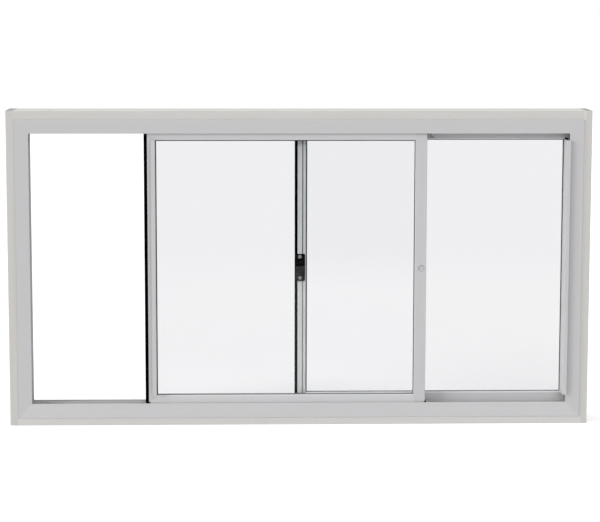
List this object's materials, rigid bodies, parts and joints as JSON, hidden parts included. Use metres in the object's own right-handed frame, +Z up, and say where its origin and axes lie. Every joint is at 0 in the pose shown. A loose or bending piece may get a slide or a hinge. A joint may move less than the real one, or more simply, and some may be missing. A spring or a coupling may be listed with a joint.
{
  "type": "secondary glazing unit",
  "caption": "Horizontal sliding secondary glazing unit: aluminium tracks with glazed sliding panels on an off-white timber ground, shown partly open.",
  "frame": {"origin": "middle of the underside of the bottom ground board, halfway through the depth of the ground", "axes": "+X to the viewer's right across the window, +Y from the room side to the wall side, +Z up"},
  "size_m": [0.94, 0.077, 0.511],
  "materials": {
    "painted_timber": "off-white paint, satin",
    "frame_aluminium": "light grey powder coat, satin",
    "panel_aluminium": "light grey powder coat, satin",
    "clear_glass": "clear float glass",
    "black_gasket": "matt black rubber",
    "black_seal": "matt black",
    "grey_pile": "woven grey pile",
    "black_plastic": "moulded black",
    "dark_plastic": "moulded dark grey",
    "grey_plastic": "moulded light grey"
  },
  "bodies": {
    "root": {"frame_head": "frame_aluminium", "frame_left_jamb": "frame_aluminium", "frame_right_jamb": "frame_aluminium", "frame_sill": "frame_aluminium", "front_panel_bottom_guides": "black_plastic", "front_panel_bottom_rail": "panel_aluminium", "front_panel_edge_seal": "black_seal", "front_panel_gasket": "black_gasket", "front_panel_glass": "clear_glass", "front_panel_lock_button": "grey_plastic", "front_panel_meeting_stile": "panel_aluminium", "front_panel_outer_stile": "panel_aluminium", "front_panel_top_guides": "dark_plastic", "front_panel_top_rail": "panel_aluminium", "ground_head": "painted_timber", "ground_left": "painted_timber", "ground_right": "painted_timber", "ground_sill": "painted_timber", "head_pile_seals": "grey_pile", "latch_keep": "black_plastic", "left_jamb_pile_seals": "grey_pile", "rear_panel_bottom_guides": "black_plastic", "rear_panel_bottom_rail": "panel_aluminium", "rear_panel_edge_seal": "black_seal", "rear_panel_gasket": "black_gasket", "rear_panel_glass": "clear_glass", "rear_panel_meeting_seal": "black_seal", "rear_panel_meeting_stile": "panel_aluminium", "rear_panel_outer_stile": "panel_aluminium", "rear_panel_top_guides": "black_plastic", "rear_panel_top_rail": "panel_aluminium", "right_jamb_pile_seals": "grey_pile", "sill_pile_seals": "grey_pile"}
  },
  "joints": []
}
